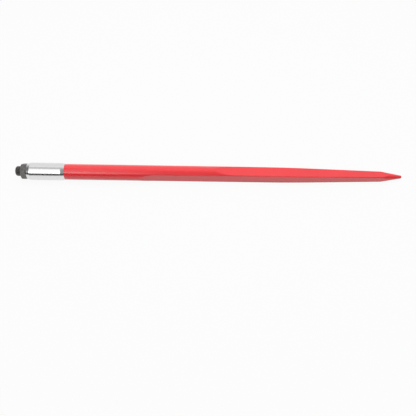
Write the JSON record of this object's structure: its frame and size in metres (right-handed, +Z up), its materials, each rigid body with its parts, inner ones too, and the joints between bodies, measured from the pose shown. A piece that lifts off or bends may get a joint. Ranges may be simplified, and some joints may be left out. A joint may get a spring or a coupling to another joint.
{
  "type": "bale spear",
  "caption": "Forged straight bale spear: round bar turning to a tapering square with a cone point, tapered shank in a chamfered weld-in sleeve, threaded stud and hex nut.",
  "frame": {"origin": "centre of the weld-in sleeve, on the spear's axis", "axes": "+X along the spear to its point, +Z up, with the forged flats facing up, down, front (-Y) and back (+Y)"},
  "size_m": [1.1001, 0.0498, 0.0498],
  "materials": {
    "red_paint": "gloss",
    "bare_steel": "fine turned and brushed",
    "dark_steel": "blackened, dull"
  },
  "bodies": {
    "root": {"spear": "red_paint", "weld_in_sleeve": "bare_steel", "hex_nut": "dark_steel"}
  },
  "joints": []
}
